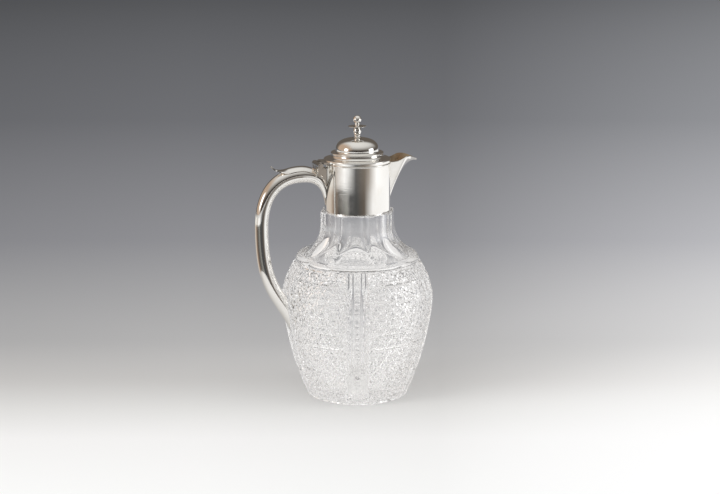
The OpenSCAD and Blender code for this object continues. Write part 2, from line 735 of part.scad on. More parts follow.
// The lid's half of the hinge: a plate bedded on the flange's back, with two knuckles
leaf_w = barrel_w;
leaf_z = seat_z + 0.2;
module lid_leaf() {
    color(SILVER)
    difference() {
        union() {
            for (i = [1:2:knuckles - 2])
                along_hinge(knuckle_y(i), knuckle_l)
                    union() {
                        circle(r = knuckle_r, $fn = 48);
                        translate([0, leaf_z - hinge_z])
                            square([knuckle_r + 1, leaf_t]);
                    }
            translate([hinge_x + knuckle_r + lid_gap, -leaf_w / 2, leaf_z])
                cube([hinge_out, leaf_w, leaf_t]);
        }
        along_hinge(-barrel_w, 2 * barrel_w)
            circle(r = pin_r + pin_gap, $fn = 48);
        cylinder(r = lid_r, h = 2 * past);
    }
}

// ---------------------------------------------------------------- finial
disc_z = dome_top + finial_h * 0.52;
ball_z = dome_top + finial_h - ball_r;
disc_t = 1;
thread_l = 5;

module finial_stem() {
    foot_flare = 1.6;
    side = [[stem_r + 0.9, 0], [stem_r * 0.72, foot_flare], [stem_r * 0.7, foot_flare + 1.2],
            [stem_r * 0.9, 4], [stem_r, 6.2], [stem_r * 0.95, 8], [stem_r * 0.72, disc_z - dome_top]];
    color(SILVER)
    union() {
        translate([0, 0, dome_top])
            rotate_extrude()
                polygon(concat([[0, 0]], side, [[0, disc_z - dome_top]]));
        translate([0, 0, dome_top - lid_wall - thread_l])
            cylinder(r = stud_r, h = thread_l + lid_wall + 0.5);
    }
}

module finial_disc() {
    color(SILVER)
    translate([0, 0, disc_z])
        rotate_extrude()
            polygon([[0, 0], [disc_r * 0.5, 0], [disc_r, disc_t * 0.3], [disc_r, disc_t * 0.7],
                     [stem_r * 0.8, disc_t + 0.7], [0, disc_t + 0.7]]);
}

module finial_ball() {
    neck_foot = disc_z + disc_t + 0.7;
    color(SILVER)
    union() {
        translate([0, 0, neck_foot])
            cylinder(r = stem_r * 0.62, h = ball_z - neck_foot);
        translate([0, 0, ball_z])
            sphere(r = ball_r);
    }
}

// The washer touches the dome's inside along its edge
washer_t = 0.8;
washer_r = nut_w * 0.6;
washer_top = dome_top - lid_wall - seat_gap
    - (dome_top - lid_wall - dome_spring_z) * (1 - sqrt(1 - pow(washer_r / (dome_r - lid_wall), 2)));
module finial_washer() {
    color(SILVER)
    translate([0, 0, washer_top - washer_t])
    difference() {
        cylinder(r = washer_r, h = washer_t);
        translate([0, 0, -1])
            cylinder(r = stud_r + seat_gap, h = washer_t + 2);
    }
}

module finial_nut() {
    nut_t = 2;
    color(SILVER)
    translate([-nut_w / 2, -nut_w / 2, washer_top - washer_t - nut_t])
    difference() {
        cube([nut_w, nut_w, nut_t]);
        translate([nut_w / 2, nut_w / 2, -1])
            cylinder(r = stud_r + seat_gap, h = nut_t + 2);
    }
}

glass_body();
neck_bedding();
collar();
collar_rim();
collar_bezel();
spout();
handle();
handle_bedding();
thumb_rest();
hinge_lug();
hinge_pin();
lid_flange();
lid_locating_ring();
lid_moulding();
lid_bead();
lid_dome();
lid_leaf();
finial_stem();
finial_disc();
finial_ball();
finial_washer();
finial_nut();
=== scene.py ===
"""Looks of a claret jug: cut lead crystal with a silver collar, spout, handle and hinged lid.

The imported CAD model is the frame. +Z is up, the spout points to +X and the handle is on -X.
Shapes are worked out in millimetres and brought to metres when a piece is finished.
"""

import bisect
import math

import bmesh
import bpy
from bpy.props import FloatProperty, IntProperty, PointerProperty, StringProperty
from mathutils import Matrix, Vector


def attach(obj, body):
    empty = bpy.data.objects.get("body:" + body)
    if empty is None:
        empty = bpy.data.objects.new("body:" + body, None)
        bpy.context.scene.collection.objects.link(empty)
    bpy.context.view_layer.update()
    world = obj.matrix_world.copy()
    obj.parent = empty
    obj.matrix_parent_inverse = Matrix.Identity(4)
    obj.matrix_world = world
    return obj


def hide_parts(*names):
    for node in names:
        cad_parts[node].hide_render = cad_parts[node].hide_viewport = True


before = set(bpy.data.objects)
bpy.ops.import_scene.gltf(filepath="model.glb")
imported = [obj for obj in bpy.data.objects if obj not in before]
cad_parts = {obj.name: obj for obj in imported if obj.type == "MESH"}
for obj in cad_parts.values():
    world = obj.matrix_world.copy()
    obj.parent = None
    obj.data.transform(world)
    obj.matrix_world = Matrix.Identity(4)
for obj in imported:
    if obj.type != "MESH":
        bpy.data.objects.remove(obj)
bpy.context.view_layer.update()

bl_info = {
    "name": "Claret jug",
    "version": (1, 0, 0),
    "blender": (4, 5, 0),
    "location": "View3D > Sidebar > Claret jug",
    "description": "Dresses the CAD model of a cut-glass claret jug",
    "category": "Object",
}

MM = 0.001

# ---- outlines, in millimetres
# (radius, height) control points of the glass. PANEL_FLARE is cut deeper here than in the CAD
# source, which leaves a narrow strip of the blank between the panels.
PANELS = 8
PANEL_APOTHEM, SPIGOT_R, BORE_R = 30.9, 26.4, 23.5
FLARE_TOP, LEDGE_Z, SPIGOT_TOP = 154.0, 163.0, 176.0
BELLY_LOW = ((44.66, 3), (57.86, 28.4), (66, 77.4), (66, 86))
BELLY_HIGH = ((66, 86), (66, 96.9), (60.2, 111.5), (53.4, 120))
RING_FOOT, RING_TOP = Vector((53.4, 120)), Vector((48.58, 125.75))
RING_PROUD = 2.0
BLANK_FLARE = (RING_TOP, RING_TOP + Vector((-5, 5)), (34.25, 136.75), (34.25, FLARE_TOP))
PANEL_FLARE = (
    RING_TOP + Vector((-2.6, 0.0)),
    RING_TOP + Vector((-8.6, 4.0)),
    (PANEL_APOTHEM, 136.15),
    (PANEL_APOTHEM, FLARE_TOP),
)
# Rows of the flare are turned at this radius, until panel_point puts them on the panels
FLARE_MARK = 40
INSIDE_LOW = ((36.08, 11), (49.94, 28.2), (59.4, 75.7), (59.4, 86))
INSIDE_HIGH = ((59.4, 86), (59.4, 97.9), (49.8, 109.8), (42.77, 118))
INSIDE_NECK = ((42.77, 118), (34.17, 126.6), (23.5, 132.04), (23.5, 145.8))
NECK_STEPS = 96
# The cutting covers the belly from the foot's bevel to the shoulder ring
CUT_FROM_Z, CUT_TO_Z = 3.4, 118.8
FLUTES = 5
FLUTE_FOOT_Z = 25.0

# Centre line of the handle in (x, z): up the tail, over the loop and down the side
TAIL_ARC = ((-27.3, 169), (-27.3, 196.3), (-46.6, 196.3), (-50.8, 196.3))
TOP_ARC = ((-50.8, 196.3), (-68.9, 196.3), (-85.6, 184.8), (-85.6, 152))
SIDE_ARC = ((-85.6, 152), (-85.6, 93.7), (-68.86, 94.17), (-53.66, 59.34))
SEAT_Z = 205.6
COLLAR_R = 28.5
# Share of a curve over which its direction is measured
NEARBY = 0.004


def curve_point(controls, share):
    """The point at a share, 0 to 1, of a cubic Bezier curve."""
    a, b, c, d = (Vector(p) for p in controls)
    rest = 1 - share
    return a * rest**3 + b * (3 * rest * rest * share) + c * (3 * rest * share * share) + d * share**3


def curve_line(controls, steps):
    return [curve_point(controls, i / steps) for i in range(steps + 1)]


def curve_way(controls, share):
    """The direction of a curve at a share, measured over a short stretch of it."""
    share = min(1 - NEARBY, max(NEARBY, share))
    return (curve_point(controls, share + NEARBY) - curve_point(controls, share - NEARBY)).normalized()


def square_to(way):
    """The way up from a line that runs along way, both in (x, z)."""
    return Vector((way.y, -way.x))


def curve_at_height(controls, z):
    """The radius at a height of a Bezier curve in (radius, height) that rises all the way."""
    low, high = 0.0, 1.0
    for _ in range(30):
        mid = (low + high) / 2
        low, high = (mid, high) if curve_point(controls, mid).y < z else (low, mid)
    return curve_point(controls, (low + high) / 2).x


def through(points, steps):
    """A smooth line through the points, with steps between each two."""
    points = [Vector(p) for p in points]
    ends = [points[0] * 2 - points[1], *points, points[-1] * 2 - points[-2]]
    line = []
    for a, b, c, d in zip(ends, ends[1:], ends[2:], ends[3:]):
        line += curve_line((b, b + (c - a) / 6, c - (d - b) / 6, c), steps)[:-1]
    return [*line, points[-1]]


def eased(share):
    share = min(1.0, max(0.0, share))
    return share * share * (3 - 2 * share)


# ---- mesh helpers
def spun(bm, geom, angle, steps, **how):
    """Sweeps or copies geometry about the jug's axis."""
    where = {"cent": (0, 0, 0), "axis": (0, 0, 1)}
    bmesh.ops.spin(bm, geom=geom, angle=angle, steps=steps, **where, **how)


def turned(bm, outline, steps, ring=False):
    """Turns an outline of (radius, height) about the jug's axis; a ring's outline is closed."""
    verts = [bm.verts.new((r, 0, z)) for r, z in outline]
    pairs = list(zip(verts, verts[1:])) + ([(verts[-1], verts[0])] if ring else [])
    edges = [bm.edges.new(pair) for pair in pairs]
    spun(bm, verts + edges, 2 * math.pi, steps, use_merge=True)


def skinned(bm, across, along, place):
    """A grid of across by along cells with corners at place(u, v), for u and v from 0 to 1."""
    made = bmesh.ops.create_grid(bm, x_segments=across, y_segments=along, size=0.5)
    for v in made["verts"]:
        v.co = place(v.co.x + 0.5, v.co.y + 0.5)


def corners(faces):
    """The faces' corners, each once and in a fixed order."""
    return dict.fromkeys(v for f in faces for v in f.verts)


def placed(bm, name, material):
    """Makes an object from a bmesh, and frees it."""
    mesh = bpy.data.meshes.new(name)
    bm.to_mesh(mesh)
    bm.free()
    mesh.materials.append(material)
    made = bpy.data.objects.new(name.replace(" ", "_"), mesh)
    bpy.context.scene.collection.objects.link(made)
    return made


def finished(bm, name, body, material, stands_for, recalc=True, sharp=25):
    """Turns a bmesh in millimetres into a piece that stands for CAD nodes."""
    bmesh.ops.remove_doubles(bm, verts=bm.verts, dist=0.004)
    bmesh.ops.dissolve_degenerate(bm, edges=bm.edges, dist=0.001)
    if recalc:
        bmesh.ops.recalc_face_normals(bm, faces=bm.faces)
    for e in bm.edges:
        e.smooth = len(e.link_faces) == 2 and e.calc_face_angle() < math.radians(sharp)
    bmesh.ops.scale(bm, vec=(MM, MM, MM), verts=bm.verts)
    piece = placed(bm, name, material)
    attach(piece, body)
    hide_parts(*stands_for)
    return piece


def smooth_all(bm):
    for f in bm.faces:
        f.smooth = True


def facing(bm, inside):
    """Turns the faces of an open sheet away from a point."""
    bm.normal_update()
    if sum(f.normal.dot(f.calc_center_median() - Vector(inside)) for f in bm.faces) < 0:
        bmesh.ops.reverse_faces(bm, faces=bm.faces)


# ---- cut glass
class BellySide:
    """The belly's outline measured in rows of cut cells, which shrink with the girth."""

    def __init__(self, rows, flute_half):
        line = curve_line(BELLY_LOW, 160) + curve_line(BELLY_HIGH, 160)[1:]
        self.line = [p for p in line if CUT_FROM_Z <= p.y <= CUT_TO_Z]
        self.flute_half = flute_half
        self.rows_up = [0.0]
        for a, b in zip(self.line, self.line[1:]):
            girth = (a.x + b.x) / 2
            self.rows_up.append(self.rows_up[-1] + (b - a).length / (girth * self.half_panel(girth)))
        whole = self.rows_up[-1]
        self.rows_up = [up * rows / whole for up in self.rows_up]

    def half_panel(self, r):
        """Half the angle of one cut panel, where the glass has radius r."""
        return math.pi / FLUTES - math.asin(self.flute_half / r)

    def at_row(self, row):
        """The outline's point at a row, and the way out of the glass there."""
        i = min(max(bisect.bisect_right(self.rows_up, row), 1), len(self.line) - 1)
        low, high = self.rows_up[i - 1], self.rows_up[i]
        a, b = self.line[i - 1], self.line[i]
        way = (b - a).normalized()
        return a.lerp(b, (row - low) / (high - low)), Vector((way.y, -way.x))

    def at_height(self, z):
        i = min(max(bisect.bisect_right([p.y for p in self.line], z), 1), len(self.line) - 1)
        a, b = self.line[i - 1], self.line[i]
        return a.lerp(b, (z - a.y) / (b.y - a.y)).x


def channel(across, depth):
    """Depth of a flute's three hollow channels, at a distance from its middle; its edges rise."""
    across = abs(across)
    if across > 8:
        return -0.45 * max(0.0, 1 - abs(across - 9))
    if across < 4:
        return depth * (1 - (across / 4) ** 2)
    return 0.75 * depth * max(0.0, 1 - ((across - 6) / 2) ** 2)


def flute_face(r, z, across, half, depth):
    """Distance from the jug's axis to the face of a flute, measured square to the flute."""
    cut = eased((z - FLUTE_FOOT_Z) / 3)
    flat, blank = math.sqrt(r * r - half * half), math.sqrt(r * r - across * across)
    below = eased((FLUTE_FOOT_Z - 2.5 - 0.12 * across * across - z) / 2.5) * (abs(across) < 4)
    return flat * cut + blank * (1 - cut) - channel(across, depth) * max(cut, below)


def panel_cells(bm, half_w):
    """The faces of the flat sheet that lie in the cut panel."""
    return [f for f in bm.faces if abs(f.calc_center_median().x) < half_w]


def saw(bm, faces, point, normal):
    """Cuts the faces along a plane."""
    edges = dict.fromkeys(e for f in faces for e in f.edges)
    geom = [*corners(faces), *edges, *faces]
    bmesh.ops.bisect_plane(bm, geom=geom, dist=1e-4, plane_co=point, plane_no=normal)


def lower_every_other(face, corner, depth):
    """Lowers the corners between those that are in line with a star's points."""
    ring = list(face.verts)
    start = min(range(len(ring)), key=lambda i: (ring[i].co.xy - corner.xy).length)
    for i, v in enumerate(ring):
        if (i - start) % 2:
            v.co.z -= depth


def cut_star(bm, face, depth):
    """Cuts an eight-pointed star into a diamond, round a small raised point."""
    corner = face.verts[0].co.copy()
    bmesh.ops.bisect_edges(bm, edges=list(face.edges), cuts=3)
    lower_every_other(face, corner, 0.6 * depth)
    inset = {"thickness": 1.35, "depth": -0.5 * depth, "use_even_offset": True}
    bmesh.ops.inset_individual(bm, faces=[face], **inset)
    lower_every_other(face, corner, -0.6 * depth)
    bmesh.ops.poke(bm, faces=[face], offset=0.6 * depth, center_mode="MEAN")


def cut_sector(bm, glass):
    """One panel of stars with half a flute on each side, laid out flat: x across, y up, z out."""
    half = glass.columns / 2
    cell_w, cell_h = 10.3, 13.4
    half_w = half * cell_w
    groove, lip = glass.groove_depth / MM, glass.groove_half / MM
    side = BellySide(glass.rows, glass.flute_half / MM)

    bmesh.ops.create_grid(bm, x_segments=1, y_segments=1, size=0.5)
    bmesh.ops.translate(bm, verts=bm.verts, vec=(0, 0.5, 0))
    bmesh.ops.scale(bm, verts=bm.verts, vec=(2 * (half + 1) * cell_w, glass.rows * cell_h, 1))
    for x in (-half_w, half_w):
        saw(bm, list(bm.faces), (x, 0, 0), (1, 0, 0))
    # The flutes: columns for the channels, four rows to each row of cells
    def flutes():
        return [f for f in bm.faces if abs(f.calc_center_median().x) > half_w]

    for k in range(1, 10):
        for sign in (-1, 1):
            saw(bm, flutes(), (sign * (half_w + k * cell_w / 10), 0, 0), (1, 0, 0))
    for k in range(1, 4 * glass.rows):
        saw(bm, flutes(), (0, k * cell_h / 4, 0), (0, 1, 0))
    # The panel: mitre grooves both ways across, and one along each row
    for k in range(-glass.rows - glass.columns, glass.rows + glass.columns):
        for sign in (-1, 1):
            saw(bm, panel_cells(bm, half_w), ((k + 0.5) * cell_w, 0, 0), (cell_h, sign * cell_w, 0))
    for k in range(1, glass.rows):
        saw(bm, panel_cells(bm, half_w), (0, k * cell_h, 0), (0, 1, 0))

    for f in flutes():
        f.smooth = True
    cells = panel_cells(bm, half_w)
    for v in corners(cells):
        v.co.z -= groove
    bmesh.ops.inset_individual(bm, faces=cells, thickness=lip, depth=groove, use_even_offset=True)
    for cell in cells:
        if cell.calc_area() > 25:
            cut_star(bm, cell, glass.star_depth / MM)
    # Fine lines along the rows, over the half diamonds
    for k in range(glass.rows + 1):
        for up in (-2.9, -2.2, -1.5, 1.5, 2.2, 2.9):
            line_y = k * cell_h + up
            near = [
                f
                for f in panel_cells(bm, half_w)
                if abs(f.calc_center_median().y - k * cell_h) < 3.6
                and min(v.co.z for v in f.verts) > -0.1
            ]
            saw(bm, near, (0, line_y, 0), (0, 1, 0))
            if abs(up) == 2.2:
                for v in corners(f for f in near if f.is_valid):
                    if abs(v.co.y - line_y) < 0.01 and v.co.z > -0.1:
                        v.co.z -= 0.5
    uneven = [f for f in bm.faces if len(f.verts) > 4 and abs(f.calc_center_median().x) < half_w]
    bmesh.ops.triangulate(bm, faces=uneven, quad_method="BEAUTY", ngon_method="BEAUTY")

    for v in bm.verts:
        x, row, lift = v.co.x / cell_w, v.co.y / cell_h, v.co.z
        spot, out = side.at_row(row)
        if abs(x) <= half + 1e-4:
            r, z = spot + out * lift
            turn = x / half * side.half_panel(spot.x)
            v.co = (r * math.cos(turn), r * math.sin(turn), z)
        else:
            across = (half + 1 - abs(x)) * side.flute_half
            face = flute_face(*spot, across, side.flute_half, glass.channel_depth / MM)
            turn = math.copysign(math.pi / FLUTES, x)
            edge = Vector((face, -math.copysign(across, x), spot.y))
            v.co = Matrix.Rotation(turn, 3, "Z") @ edge
    whole = [*bm.verts, *bm.edges, *bm.faces]
    spun(bm, whole, 2 * math.pi * (FLUTES - 1) / FLUTES, FLUTES - 1, use_duplicate=True)
    bmesh.ops.remove_doubles(bm, verts=bm.verts, dist=0.02)


def neck_outline():
    """From the shoulder ring up the neck, over the spigot and down the inside to its middle."""
    ring = []
    way_out = Vector((math.sin(math.radians(50)), math.cos(math.radians(50))))
    for step in range(19):
        a = math.radians(10 * step)
        across = RING_FOOT.lerp(RING_TOP, (1 - math.cos(a)) / 2)
        ring.append(across + RING_PROUD * math.sin(a) * way_out)
    flare = [(FLARE_MARK, RING_TOP.y + (FLARE_TOP - RING_TOP.y) * i / 20) for i in range(1, 21)]
    top = [(PANEL_APOTHEM, 162.6), (30.5, LEDGE_Z), (SPIGOT_R, LEDGE_Z), (SPIGOT_R, SPIGOT_TOP - 0.5)]
    top += [(SPIGOT_R - 0.5, SPIGOT_TOP), (BORE_R + 0.5, SPIGOT_TOP), (BORE_R, SPIGOT_TOP - 0.5)]
    inside = curve_line(INSIDE_LOW, 24)
    inside += curve_line(INSIDE_HIGH, 16)[1:] + curve_line(INSIDE_NECK, 16)[1:]
    # A groove is cut in under the ring
    groove = [Vector((53.2, 119.1)), Vector((51.2, 119.8))]
    return [*groove, *ring, *flare, *top, *reversed(inside), (20, 11), (0, 11)]


def off_middle(co):
    """The angle from the middle of the neck's panel that a point is on."""
    return (math.atan2(co.y, co.x) % (2 * math.pi / PANELS)) - math.pi / PANELS


def panel_point(co):
    """Puts a point of the neck's flare on the round blank or on the flat panel cut into it."""
    around, off = math.atan2(co.y, co.x), off_middle(co)
    share = (co.z - RING_TOP.y) / (FLARE_TOP - RING_TOP.y)
    low, high = RING_TOP.y + 0.05, FLARE_TOP
    for _ in range(24):
        crease = (low + high) / 2
        blank_r, panel_r = (curve_at_height(flare, crease) for flare in (BLANK_FLARE, PANEL_FLARE))
        low, high = (crease, high) if blank_r * math.cos(off) < panel_r else (low, crease)
    # The lowest fifth of the rows lies on the blank, the rest on the panel
    if share <= 0.2:
        z = RING_TOP.y + (crease - RING_TOP.y) * share / 0.2
        r = curve_at_height(BLANK_FLARE, z)
    else:
        z = crease + (FLARE_TOP - crease) * (share - 0.2) / 0.8
        r = curve_at_height(PANEL_FLARE, z) / math.cos(off)
    return Vector((r * math.cos(around), r * math.sin(around), z))


def rim_of(bm, known):
    """The open edges of a bmesh that aren't among the known ones."""
    return [e for e in bm.edges if e.is_boundary and e not in known]


def merge_axis(bm, top):
    """Merges the points on the jug's axis below a height, which a turned outline leaves there."""
    middle = [v for v in bm.verts if v.co.xy.length < 0.01 and v.co.z < top]
    bmesh.ops.remove_doubles(bm, verts=middle, dist=0.02)


def cut_glass_body(glass, material):
    bm = bmesh.new()
    cut_sector(bm, glass)
    sheet_rims = rim_of(bm, ())
    top = [e for e in sheet_rims if e.verts[0].co.z > 60]
    bottom = [e for e in sheet_rims if e.verts[0].co.z <= 60]

    cut_faces = set(bm.faces)
    turned(bm, neck_outline(), NECK_STEPS)
    for v in bm.verts:
        girth = v.co.xy.length
        if RING_TOP.y + 0.01 < v.co.z < FLARE_TOP + 0.01 and abs(girth - FLARE_MARK) < 0.01:
            v.co = panel_point(v.co)
        elif 162 < v.co.z < LEDGE_Z + 0.1 and 28 < girth < 31:
            v.co.xy = v.co.xy / math.cos(off_middle(v.co))
    merge_axis(bm, LEDGE_Z)
    neck_rim = rim_of(bm, set(sheet_rims))
    creases = [
        e
        for e in bm.edges
        if len(e.link_faces) == 2
        and min(v.co.z for v in e.verts) > 131
        and max(v.co.z for v in e.verts) < LEDGE_Z
        and min(v.co.xy.length for v in e.verts) > 31.5
        and e.calc_face_angle() > math.radians(20)
    ]
    bevel = {"affect": "EDGES", "profile": 0.5, "material": -1, "clamp_overlap": True}
    bmesh.ops.bevel(bm, geom=creases, offset=1.1, segments=1, **bevel)

    turned(bm, [(44, 0.6), (43.4, 0), (40.5, 0), (39.3, 0.5), (0, 1.6)], NECK_STEPS)
    merge_axis(bm, 5)
    # A star of 24 rays is cut under the foot
    for v in bm.verts:
        ray = round(math.atan2(v.co.y, v.co.x) / (2 * math.pi / NECK_STEPS)) % 4
        if 0.4 < v.co.z < 0.55 and v.co.xy.length < 39.5:
            v.co.z += 0.9 * (ray == 2) + 0.45 * (ray % 2)
    foot_rim = rim_of(bm, set(sheet_rims) | set(neck_rim))
    for f in bm.faces:
        if f not in cut_faces:
            f.smooth = f.calc_center_median().z > 0.01
    bmesh.ops.bridge_loops(bm, edges=top + neck_rim)
    bmesh.ops.bridge_loops(bm, edges=bottom + foot_rim)
    return finished(bm, "cut_glass_body", "jug", material, ["glass_body"], sharp=20)


# ---- silver
def handle_arc(s):
    return (TAIL_ARC, TOP_ARC, SIDE_ARC)[min(2, int(s))], s - min(2, int(s))


def handle_centre(s):
    return curve_point(*handle_arc(s))


def handle_way(s):
    """The direction of the centre line, in (x, z)."""
    return curve_way(*handle_arc(s))


def handle_crest(s, lift=0.0):
    """The point of the tube's outside in the middle plane, lifted off it, and the way up there."""
    up = square_to(handle_way(s))
    return handle_centre(s) + up * (handle_r(s) + lift), up


def handle_r(s):
    """Radius of the tube: a thin tail, fullest over the top, slighter down the side."""
    if s < 1:
        return (3.4 + 10 * math.sin(math.radians(90 * s))) / 2
    if s < 2:
        return (13.4 - 1.6 * eased(s - 1)) / 2
    return (11.8 + 1.2 * eased(s - 2)) / 2


def handle_point(s, angle, inset=0.0):
    """A point on the tube, its angle measured from the side away from the grip."""
    centre, way, r = handle_centre(s), handle_way(s), handle_r(s) - inset
    out = r * math.cos(angle)
    return Vector((centre.x + out * way.y, r * math.sin(angle), centre.y - out * way.x))


# Share of the tube's grid that is its outside, before it turns back up the inside
TUBE_OUTSIDE = 0.9


def foot_place(angle, inset, side, depth):
    """How far down the handle a line along the tube meets the flute under the handle's foot."""
    low, high = 2.2, 3.0
    for _ in range(24):
        s = (low + high) / 2
        p = handle_point(s, angle, inset)
        clear = -p.x > flute_face(side.at_height(p.z), p.z, p.y, side.flute_half, depth) + 0.03
        low, high = (s, high) if clear else (low, s)
    return (low + high) / 2


def handle(glass, material):
    side = BellySide(glass.rows, glass.flute_half / MM)
    depth = glass.channel_depth / MM
    ends = {}

    def place(u, v):
        angle = 2 * math.pi * u
        inset = 0.0 if v <= TUBE_OUTSIDE + 1e-6 else 1.0
        key = (round(u, 5), inset)
        if key not in ends:
            ends[key] = foot_place(angle, inset, side, depth)
        if inset:
            s = ends[key] - (v - TUBE_OUTSIDE) / (1 - TUBE_OUTSIDE) * 0.22 + 0.022
        else:
            s = 3 * v / TUBE_OUTSIDE
            s = s if s < 2 else 2 + (s - 2) * (ends[key] - 2)
        p = handle_point(s, angle, inset)
        girth = math.hypot(p.x, p.y)
        in_collar = COLLAR_R - 0.15
        if p.z > LEDGE_Z and girth < in_collar:
            p.xy = p.xy * (in_collar / max(girth, 1e-6))
        return p

    bm = bmesh.new()
    skinned(bm, 48, 200, place)
    bmesh.ops.remove_doubles(bm, verts=bm.verts, dist=0.004)
    bmesh.ops.holes_fill(bm, edges=rim_of(bm, ()), sides=0)
    smooth_all(bm)
    return finished(bm, "loop_handle", "jug", material, ["handle"], sharp=40)


# The strap runs down the crest of the handle from the hinge, then leaves it in a free curl
STRAP_FROM, STRAP_TO = 0.42, 1.19
STRAP_ON_CREST = 0.58
STRAP_HALF, TIP_HALF = 6.6, 0.5
CURL_TIP = Vector((-77.4, 204.7))


def strap_station(share):
    """Crest point, way up, section's radius and half width at a share of the strap's length."""
    if share <= STRAP_ON_CREST:
        along = share / STRAP_ON_CREST
        s = STRAP_FROM + (STRAP_TO - STRAP_FROM) * along
        # Two rounded steps at the hinge end, then the full width
        half = STRAP_HALF * (0.78 + 0.22 * eased(along * 4.5))
        half -= 0.55 * abs(math.sin(along * 26)) * (along < 0.24)
        return *handle_crest(s, 0.05), handle_r(s) + 0.05, half
    t = (share - STRAP_ON_CREST) / (1 - STRAP_ON_CREST)
    leave = handle_crest(STRAP_TO, 0.05)[0]
    length = (CURL_TIP - leave).length
    first = leave + handle_way(STRAP_TO) * 0.36 * length
    curl = (leave, first, CURL_TIP + Vector((0.24, -0.32)) * length, CURL_TIP)
    half = STRAP_HALF + (TIP_HALF - STRAP_HALF) * t**1.2
    r = (handle_r(STRAP_TO) + 0.05) * (1 + 3 * t)
    return curve_point(curl, t), square_to(curve_way(curl, t)), r, half


def thumb_rest(material):
    def place(u, v):
        crest, up, r, half = strap_station(v)
        centre, angle = crest - up * r, half / r * (2 * u - 1)
        out = r * math.cos(angle)
        return Vector((centre.x + out * up.x, r * math.sin(angle), centre.y + out * up.y))

    def cheek(side):
        """A plate that closes the corner of handle and collar, under the knuckles."""

        def cheek_point(u, v):
            crest = handle_crest(0.27 + 0.23 * u, -0.6)[0]
            scallop = 1.1 * math.sin(2.5 * math.pi * u) ** 2
            spot = crest.lerp(Vector((-28.4 - 7.2 * u, 201.8 - scallop)), v)
            return Vector((spot.x, side * 3.2, spot.y))

        return cheek_point

    bm = bmesh.new()
    skinned(bm, 16, 90, place)
    facing(bm, (-60, 0, 190))
    for side in (-1, 1):
        skinned(bm, 20, 8, cheek(side))
    smooth_all(bm)
    piece = finished(bm, "thumb_rest_strap", "jug", material, ["thumb_rest"], recalc=False)
    sheet = piece.modifiers.new("strap thickness", "SOLIDIFY")
    sheet.thickness, sheet.offset, sheet.use_even_offset = 1.15 * MM, 1, True
    edge = piece.modifiers.new("eased edges", "BEVEL")
    edge.width, edge.segments, edge.limit_method = 0.25 * MM, 2, "ANGLE"
    return piece


# Control points of the beak's keel and rim, from the collar to the lip, and the share that is kept
KEEL = ((28.5, 0, 169), (34.7, 0, 185.5), (43.5, 0, 208.5), (54.7, 0, 203.6))
RIM = ((26.42, 10.68, 205.0), (43, 16, 205.4), (38.5, 12.22, 213.88), (55.3, 0, 204.6))
BEAK_KEPT = 0.975


def beak_point(u, v):
    """The beak's outer skin: u runs from the collar to the lip, v over the keel from rim to rim."""
    up, sign = abs(2 * v - 1), math.copysign(1, 2 * v - 1)
    keel, rim = curve_point(KEEL, BEAK_KEPT * u), curve_point(RIM, BEAK_KEPT * u)
    p = keel.lerp(rim, up)
    if u < 1e-6:
        angle = math.asin(rim.y * up / COLLAR_R)
        p = Vector(((COLLAR_R - 0.1) * math.cos(angle), (COLLAR_R - 0.1) * math.sin(angle), p.z))
    else:
        full = 1.1 * math.sin(math.pi * up) * (1 - BEAK_KEPT * u) * min(1, 3.9 * u)
        p += full * Vector((0.5, 0.8, -0.3))
    return Vector((p.x, sign * p.y, p.z))


def spout(material, inside):
    bm = bmesh.new()
    skinned(bm, 40, 32, beak_point)
    smooth_all(bm)
    facing(bm, (40, 0, 215))
    piece = finished(bm, "beak_spout", "jug", material, ["spout"], recalc=False, sharp=80)
    # The sheet is hammered thinner towards the lip
    thick = piece.vertex_groups.new(name="thickness")
    for v in piece.data.vertices:
        thick.add([v.index], 1 - 0.65 * eased((v.co.x / MM - 40) / 14), "REPLACE")
    sheet = piece.modifiers.new("sheet thickness", "SOLIDIFY")
    sheet.thickness, sheet.offset, sheet.use_even_offset = 1.1 * MM, -1, True
    sheet.vertex_group = thick.name
    # The inside of the sheet takes the darker silver, whose brown is painted shade and reflection
    piece.data.materials.append(inside)
    sheet.material_offset = 1
    edge = piece.modifiers.new("eased rim", "BEVEL")
    edge.width, edge.segments, edge.limit_method = 0.3 * MM, 3, "ANGLE"
    edge.angle_limit = math.radians(50)
    return piece


def arc_line(centre, radii, start, end, steps):
    """Points of an ellipse's arc, in (radius, height)."""
    angles = [math.radians(start + (end - start) * i / steps) for i in range(steps + 1)]
    return [Vector(centre) + Vector((radii[0] * math.cos(a), radii[1] * math.sin(a))) for a in angles]


def full_line(centre, radii, steps):
    """A quarter of a dome's outline, from side to top, fuller at the shoulder than an ellipse."""
    line = []
    for i in range(steps + 1):
        a = math.radians(90 * i / steps)
        spot = Vector((radii[0] * math.cos(a) ** 0.78, radii[1] * math.sin(a) ** 0.78))
        line.append(Vector(centre) + spot)
    return line


def turned_piece(name, outline, material, stands_for, ring=False, sharp=28):
    bm = bmesh.new()
    turned(bm, outline, 144, ring)
    smooth_all(bm)
    return finished(bm, name, "lid", material, stands_for, sharp=sharp)


